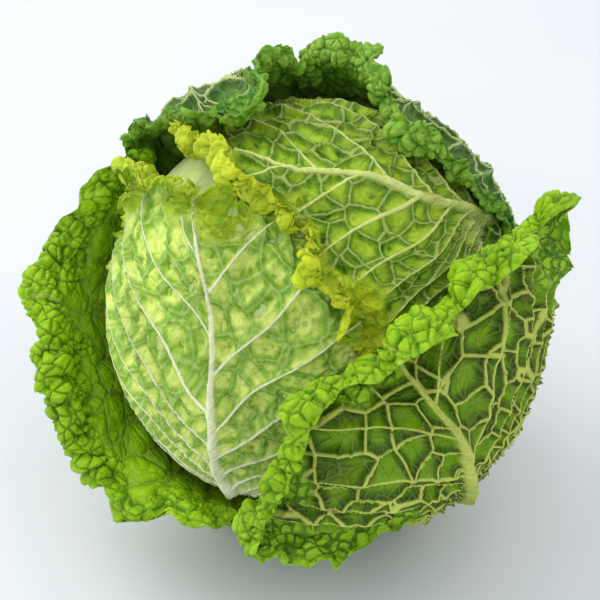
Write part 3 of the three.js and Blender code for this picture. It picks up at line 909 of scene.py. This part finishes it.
class CABBAGE_OT_inner_leaves(bpy.types.Operator):
    """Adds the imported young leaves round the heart"""
    bl_idname = "cabbage.inner_leaves"
    bl_label = "Inner Leaves"

    def execute(self, context):
        add_leaves(INNER_LEAVES, 10)
        return {"FINISHED"}


class CABBAGE_OT_head_leaves(bpy.types.Operator):
    """Adds the closed leaves of the head"""
    bl_idname = "cabbage.head_leaves"
    bl_label = "Head Leaves"

    def execute(self, context):
        add_leaves(HEAD_LEAVES, 20)
        return {"FINISHED"}


class CABBAGE_OT_wrapper_leaves(bpy.types.Operator):
    """Adds the loose outer leaves with rolled, blistered margins"""
    bl_idname = "cabbage.wrapper_leaves"
    bl_label = "Wrapper Leaves"

    def execute(self, context):
        add_leaves(WRAPPER_LEAVES, 30)
        return {"FINISHED"}


class CABBAGE_OT_stage(bpy.types.Operator):
    """Adds the pale floor, the soft light and the camera"""
    bl_idname = "cabbage.stage"
    bl_label = "Stage"

    def execute(self, context):
        scene = context.scene
        scene.world = soft_room()
        scene.view_settings.view_transform = "Standard"
        corners = np.array([[-1, -1, 0], [1, -1, 0], [1, 1, 0], [-1, 1, 0]]) * FLOOR_REACH
        floor = add_mesh("floor", corners / MM, np.array([[0, 1, 2, 3]]), {})
        s = Shader("pale_floor")
        spot = s.node("ShaderNodeTexCoord", output="Object")
        colours = colours_now()
        colour = s.mix(s.noise(spot, 5.0).fade(0.4, 0.75), colours.floor, colours.floor_patch)
        dress([floor], s.finish(colour, 0.45, s.noise(spot, 300.0), 0.00002, {}))
        lamp = bpy.data.lights.new("window", "AREA")
        lamp.energy = LAMP_ENERGY
        lamp.size = LAMP_SIZE
        window = bpy.data.objects.new("window", lamp)
        window.location = LAMP_PLACE
        aim(window, Vector((0, 0, 0.09)))
        tilt = math.radians(CAMERA_ELEVATION)
        target = Vector(CAMERA_TARGET)
        eye = bpy.data.cameras.new("camera")
        eye.lens = CAMERA_LENS
        camera = bpy.data.objects.new("camera", eye)
        camera.location = target + CAMERA_DISTANCE * Vector((0, -math.cos(tilt), math.sin(tilt)))
        aim(camera, target)
        scene.camera = camera
        return {"FINISHED"}


def aim(holder, target):
    """Turns a lamp or a camera to the target and links it to the scene."""
    holder.rotation_euler = (target - holder.location).to_track_quat("-Z", "Y").to_euler()
    bpy.context.scene.collection.objects.link(holder)


def soft_room():
    """A room that is bright overhead on the window's side and dimmer towards the other side."""
    world = bpy.data.worlds.new("soft_room")
    world.use_nodes = True
    tree = world.node_tree
    spot = tree.nodes.new("ShaderNodeTexCoord")
    towards = tree.nodes.new("ShaderNodeVectorMath")
    towards.operation = "DOT_PRODUCT"
    towards.inputs[1].default_value = Vector(BRIGHT_SIDE).normalized()
    ramp = tree.nodes.new("ShaderNodeMapRange")
    ramp.interpolation_type = "SMOOTHSTEP"
    for socket, value in (("From Min", -0.35), ("From Max", 0.9), ("To Min", 0.9), ("To Max", 1.03)):
        ramp.inputs[socket].default_value = value
    tree.links.new(spot.outputs["Generated"], towards.inputs[0])
    tree.links.new(towards.outputs["Value"], ramp.inputs["Value"])
    tree.links.new(ramp.outputs["Result"], tree.nodes["Background"].inputs["Strength"])
    tree.nodes["Background"].inputs["Color"].default_value = (0.97, 0.985, 1.0, 1)
    return world


OPERATORS = (
    CABBAGE_OT_heart, CABBAGE_OT_stem, CABBAGE_OT_inner_leaves, CABBAGE_OT_head_leaves,
    CABBAGE_OT_wrapper_leaves, CABBAGE_OT_stage)


class CABBAGE_PT_panel(bpy.types.Panel):
    """Sidebar panel that lists the cabbage's pieces"""
    bl_idname = "CABBAGE_PT_panel"
    bl_label = "Savoy Cabbage Head"
    bl_space_type = "VIEW_3D"
    bl_region_type = "UI"
    bl_category = "Cabbage"

    def draw(self, context):
        for name in CabbageSizes.__annotations__:
            self.layout.prop(context.scene.cabbage_sizes, name)
        for name in CabbageColours.__annotations__:
            colour = getattr(context.scene.cabbage_colours, name)
            if isinstance(colour, bpy.types.PropertyGroup):
                box = self.layout.box()
                box.label(text=name.capitalize())
                for part in type(colour).__annotations__:
                    box.prop(colour, part)
            else:
                self.layout.prop(context.scene.cabbage_colours, name)
        for operator in OPERATORS:
            self.layout.operator(operator.bl_idname)


CLASSES = (CabbageSizes, *LEAF_COLOURS, CabbageColours, *OPERATORS, CABBAGE_PT_panel)


def register():
    for item in CLASSES:
        bpy.utils.register_class(item)
    bpy.types.Scene.cabbage_sizes = PointerProperty(type=CabbageSizes)
    bpy.types.Scene.cabbage_colours = PointerProperty(type=CabbageColours)


def unregister():
    del bpy.types.Scene.cabbage_colours
    del bpy.types.Scene.cabbage_sizes
    for item in reversed(CLASSES):
        bpy.utils.unregister_class(item)


def main():
    register()
    for operator in OPERATORS:
        group, name = operator.bl_idname.split(".")
        getattr(getattr(bpy.ops, group), name)()


if __name__ == "__main__":
    main()
